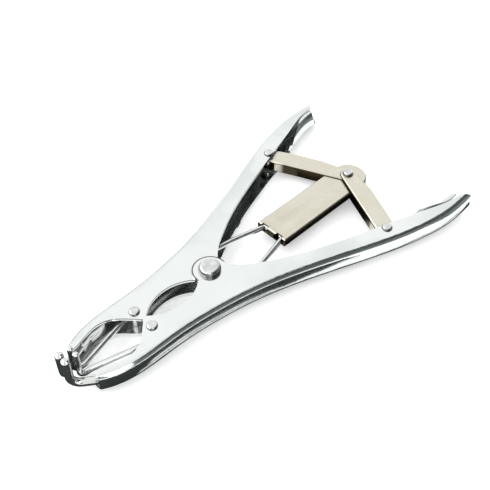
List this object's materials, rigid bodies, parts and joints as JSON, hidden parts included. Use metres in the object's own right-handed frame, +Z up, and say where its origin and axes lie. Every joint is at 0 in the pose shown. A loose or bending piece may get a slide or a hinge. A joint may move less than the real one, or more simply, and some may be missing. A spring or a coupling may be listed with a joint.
{
  "type": "ring applicator pliers",
  "caption": "Squeeze-to-open pliers whose two channel levers, toggle links and pull rods spread upright prongs that hold a rubber ring.",
  "frame": {"origin": "on the main pivot axis at the underside of the main rivet's lower head, the face the tool rests on", "axes": "+X from the pivot toward the prongs, +Y toward the left lever, +Z up along the pivot axis, the way the prongs point"},
  "size_m": [0.2309, 0.123, 0.0264],
  "materials": {
    "plated_lever": "bright plated pressed steel with soft pressing waves and light handling marks",
    "satin_nickel": "satin nickel-plated sheet, slightly warm",
    "prong_wire": "bright plated round wire",
    "rivet_steel": "bright plated, domed and peened heads",
    "bush_steel": "turned steel, plain"
  },
  "bodies": {
    "base": {"main_rivet": "rivet_steel", "main_bush": "bush_steel"},
    "lever_left": {"lever_left": "plated_lever", "front_prong_left": "prong_wire", "guide_rivet_left": "rivet_steel", "guide_sleeve_left": "bush_steel", "link_rivet_left": "rivet_steel", "link_bush_left": "bush_steel"},
    "lever_right": {"lever_right": "plated_lever", "front_prong_right": "prong_wire", "guide_rivet_right": "rivet_steel", "guide_sleeve_right": "bush_steel", "link_rivet_right": "rivet_steel", "link_bush_right": "bush_steel"},
    "crosshead": {"crosshead_tray": "satin_nickel", "crosshead_cover": "satin_nickel", "knee_rivet": "rivet_steel", "knee_bush": "bush_steel"},
    "link_left": {"link_left": "satin_nickel"},
    "link_right": {"link_right": "satin_nickel"},
    "rod_left": {"prong_rod_left": "prong_wire"},
    "rod_right": {"prong_rod_right": "prong_wire"}
  },
  "joints": [
    {"name": "lever_left_pivot", "type": "hinge", "parent": "base", "child": "lever_left", "pos_m": [0, 0, 0.008], "axis": [0, 0, 1], "range_deg": [0, 6]},
    {"name": "lever_right_pivot", "type": "hinge", "parent": "base", "child": "lever_right", "pos_m": [0, 0, 0.008], "axis": [0, 0, 1], "range_deg": [-6, 0]},
    {"name": "crosshead_slide", "type": "slide", "parent": "base", "child": "crosshead", "axis": [-1, 0, 0], "range_m": [0, 0.018]},
    {"name": "link_left_knee", "type": "hinge", "parent": "crosshead", "child": "link_left", "pos_m": [-0.1073, 0, 0.008], "axis": [0, 0, 1], "range_deg": [-19.8, 0]},
    {"name": "link_right_knee", "type": "hinge", "parent": "crosshead", "child": "link_right", "pos_m": [-0.1073, 0, 0.008], "axis": [0, 0, 1], "range_deg": [0, 19.8]},
    {"name": "rod_left_swing", "type": "hinge", "parent": "crosshead", "child": "rod_left", "pos_m": [-0.0481, 0.0058, 0.008], "axis": [0, 0, 1], "range_deg": [0, 4.8]},
    {"name": "rod_right_swing", "type": "hinge", "parent": "crosshead", "child": "rod_right", "pos_m": [-0.0481, -0.0058, 0.008], "axis": [0, 0, 1], "range_deg": [-4.8, 0]}
  ],
  "couplings": [
    {"joint": "lever_right_pivot", "follows": "lever_left_pivot", "ratio": -1},
    {"joint": "crosshead_slide", "follows": "lever_left_pivot", "m_per_rad": 0.17189},
    {"joint": "link_left_knee", "follows": "lever_left_pivot", "ratio": -3.3},
    {"joint": "link_right_knee", "follows": "lever_left_pivot", "ratio": 3.3},
    {"joint": "rod_left_swing", "follows": "lever_left_pivot", "ratio": 0.8},
    {"joint": "rod_right_swing", "follows": "lever_left_pivot", "ratio": -0.8}
  ]
}
